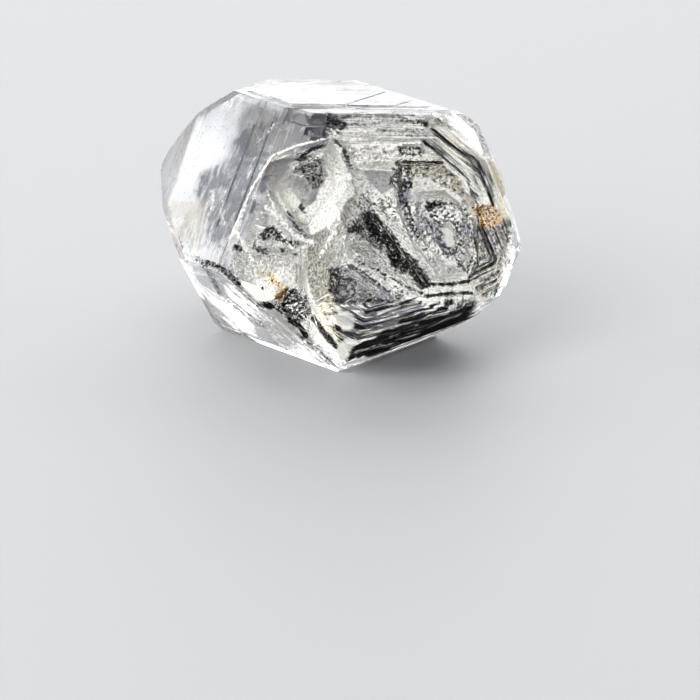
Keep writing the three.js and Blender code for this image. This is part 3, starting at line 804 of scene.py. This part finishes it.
def veil(name, normal, distance, left_cover, right_cover):
    """A wavy sheet across the crystal at a distance from its centre, cut off inside the outer faces."""
    form = bmesh.new()
    turn = normal.to_track_quat("Z", "Y").to_matrix().to_4x4()
    place = Matrix.Translation(CENTRE + normal * distance * MM)
    bmesh.ops.create_grid(
        form, x_segments=VEIL_CELLS, y_segments=VEIL_CELLS, size=VEIL_REACH, matrix=place @ turn,
    )
    for cut_normal, cut_distance in [*OUTER_FACES, *PITTED_FACES]:
        if cut_normal == normal:
            continue
        bmesh.ops.bisect_plane(
            form, geom=[*form.verts, *form.edges, *form.faces], dist=CUT_TOLERANCE, clear_outer=True,
            plane_co=CENTRE + cut_normal * (cut_distance - VEIL_INSET) * MM, plane_no=cut_normal,
        )
    for vert in form.verts:
        vert.co += normal * noise.noise((vert.co - CENTRE) / MM * VEIL_WAVES) * VEIL_WAVINESS * MM
    bmesh.ops.solidify(form, geom=form.faces, thickness=VEIL_SHEET)
    bmesh.ops.recalc_face_normals(form, faces=form.faces)
    piece = shown(name, form)
    across = [(TO_BIG_FACE @ (vert.co - CENTRE) / MM)[0] for vert in piece.data.vertices]
    bubbles = [left_cover + (right_cover - left_cover) * smooth_step(VEIL_LEFT, VEIL_RIGHT, u) for u in across]
    piece.data.attributes.new("bubbles", "FLOAT", "POINT").data.foreach_set("value", bubbles)
    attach(piece, "root")
    return piece


left_veil = veil("left_veil", prism_normal(300), 4.35, 1.0, -0.1)
lower_veil = veil("lower_veil", prism_normal(240), 6.05, 0.6, 0.6)
top_veil = veil("top_veil", prism_normal(0), 5.6, 0.25, 0.1)
VEIL_WHITE = (0.95, 0.96, 0.98, 1)
WISP_SCALE, THREAD_SCALE, THREAD_SHARE = 330, 1500, 0.5  # waves per metre, and the threads' part in the wisps
WISPS_FROM, WISP_CONTRAST = 0.75, 4.5
tree, milk = finish_with(left_veil, "veil_white", {"Base Color": VEIL_WHITE, "Roughness": 0.9})
threads = number(tree, "MULTIPLY", grain(tree, THREAD_SCALE, 3, STREAK_STRETCH), THREAD_SHARE)
wisps = number(tree, "ADD", grain(tree, WISP_SCALE, 5), threads)
cover = ramp(tree, wisps, WISPS_FROM, WISP_CONTRAST, attribute(tree, "bubbles"))
tree.links.new(cover, milk.inputs["Alpha"])
for piece in (lower_veil, top_veil):
    piece.data.materials.append(left_veil.data.materials[0])

# ---------------------------------------------------------------- the grains
# Crumbs of rusty iron ore and of black tar that settled on the crystal. They are held in its pits and on its rim,
# each sunk a little into the surface.
HELD = 0.35  # grains are set only where the marks are stronger than this
SUNK = 0.2  # the share of its radius that a grain is sunk by
LUMPY = 0.25  # how far a grain's corners stray from its radius
TONE_SCALE, TONE_CONTRAST = 3500, 8
randomiser = random.Random(7)


def grains(name, colours, shares, count, smallest, largest):
    """Lumps set on the crystal's surface where the marks are strong, their sizes in mm."""
    choices = [index for index in range(len(shares)) if shares[index] > HELD]
    form = bmesh.new()
    for index in randomiser.choices(choices, weights=[shares[index] for index in choices], k=count):
        radius = smallest + (largest - smallest) * randomiser.random() ** 2
        lump = bmesh.ops.create_icosphere(form, subdivisions=1, radius=radius * MM)["verts"]
        for vert in lump:
            vert.co *= randomiser.uniform(1 - LUMPY, 1 + LUMPY)
        spot = crystal_mesh.vertices[index]
        bmesh.ops.translate(form, verts=lump, vec=spot.co - spot.normal * radius * SUNK * MM)
    keep_in_box(form)
    piece = shown(name, form)
    tree, surface = finish_with(piece, name, {"Roughness": 0.85})
    tone = ramp(tree, grain(tree, TONE_SCALE, 3), 0.5, TONE_CONTRAST, 0.5)
    tree.links.new(mix_colour(tree, tone, *colours), surface.inputs["Base Color"])
    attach(piece, "root")


RUST_TONES = ((0.02, 0.008, 0.003, 1), (0.36, 0.18, 0.06, 1))
TAR_TONES = ((0.01, 0.009, 0.008, 1), (0.05, 0.04, 0.03, 1))
grains("left_rust", RUST_TONES, np.max(rust[:3], axis=0), 160, 0.015, 0.09)
grains("right_rust", RUST_TONES, rust[3], 230, 0.015, 0.07)
tarry = [
    mark(1, 2, spot) for spot in (
        (263, 289), (271, 281), (287, 289), (237, 247), (241, 249), (283, 250), (295, 254), (291, 321),
        (297, 325), (301, 328), (305, 335), (312, 150), (302, 208), (268, 232), (402, 151), (414, 153),
        (482, 214), (486, 209), (491, 218), (470, 277),
    )
]
grains("tar_grains", TAR_TONES, np.max(tarry, axis=0), 90, 0.03, 0.1)

# ---------------------------------------------------------------- the floor
# A plain pale matt sheet that the crystal lies on. It is only there for the picture, so it is a stage piece, and
# it lies a hair below the crystal.
FLOOR_SIZE = 4.0
FLOOR_GREY = (0.4, 0.405, 0.415, 1)
AIR_GAP = 0.02 * MM  # the crystal touches the floor at a few points only, so light is reflected inside its base
form = bmesh.new()
bmesh.ops.create_grid(form, x_segments=1, y_segments=1, size=FLOOR_SIZE / 2)
bmesh.ops.translate(form, verts=form.verts, vec=(0, 0, -AIR_GAP))
floor = shown("floor", form)
finish_with(floor, "floor_paint", {"Base Color": FLOOR_GREY, "Roughness": 0.6})

# ---------------------------------------------------------------- the camera
# It stands on the near side's view axis, and is aimed at the crystal's foot, a little to the right of its centre.
PICTURE = 700  # how wide the view is, in its units
SENSOR = 36
eye = CENTRE + VIEW_BACK * VIEW_DISTANCE
off_centre = VIEW_RIGHT * (PICTURE / 2 - VIEW_CENTRE[0]) - VIEW_UP * (PICTURE / 2 - VIEW_CENTRE[1])
target = CENTRE + off_centre * VIEW_UNIT
camera_data = bpy.data.cameras.new("camera")
camera_data.sensor_width = SENSOR
camera_data.lens = SENSOR * VIEW_DISTANCE / (PICTURE * VIEW_UNIT)
camera_data.clip_start = 0.01
camera = bpy.data.objects.new("camera", camera_data)
bpy.context.collection.objects.link(camera)
camera.location = eye
camera.rotation_mode = "QUATERNION"
camera.rotation_quaternion = (target - eye).to_track_quat("-Z", "Y")
bpy.context.scene.camera = camera

# ---------------------------------------------------------------- the light
# A pale grey room and five soft panels round the crystal, all turned to it. The front one leaves no reflection.
# Places and sizes are in metres, powers in watts.
ROOM_GREY = (0.385, 0.391, 0.404, 1)
world = bpy.data.worlds.new("studio")
bpy.context.scene.world = world
world.use_nodes = True
world.node_tree.nodes["Background"].inputs["Color"].default_value = ROOM_GREY


def soft_light(name, place, size, power, mirrored=True):
    data = bpy.data.lights.new(name, "AREA")
    data.shape = "RECTANGLE"
    data.size, data.size_y = size
    data.energy = power
    light = bpy.data.objects.new(name, data)
    bpy.context.collection.objects.link(light)
    light.location = place
    light.visible_glossy = mirrored
    light.rotation_mode = "QUATERNION"
    light.rotation_quaternion = (CENTRE - Vector(place)).to_track_quat("-Z", "Y")


soft_light("back_light", (-0.42, 0.42, 0.25), (1.0, 0.7), 5.8)
soft_light("top_light", (0.0, 0.05, 0.6), (0.5, 0.5), 0.8)
soft_light("right_light", (0.3, 0.5, 0.2), (0.3, 0.3), 0.8)
soft_light("left_light", (-0.45, -0.35, 0.12), (0.6, 0.4), 3.2)
soft_light("front_light", (0.05, -0.45, 0.4), (0.4, 0.4), 2.6, mirrored=False)

scene = bpy.context.scene
scene.cycles.max_bounces = 24
scene.cycles.transmission_bounces = 20
scene.cycles.glossy_bounces = 8
scene.view_settings.view_transform = "Standard"
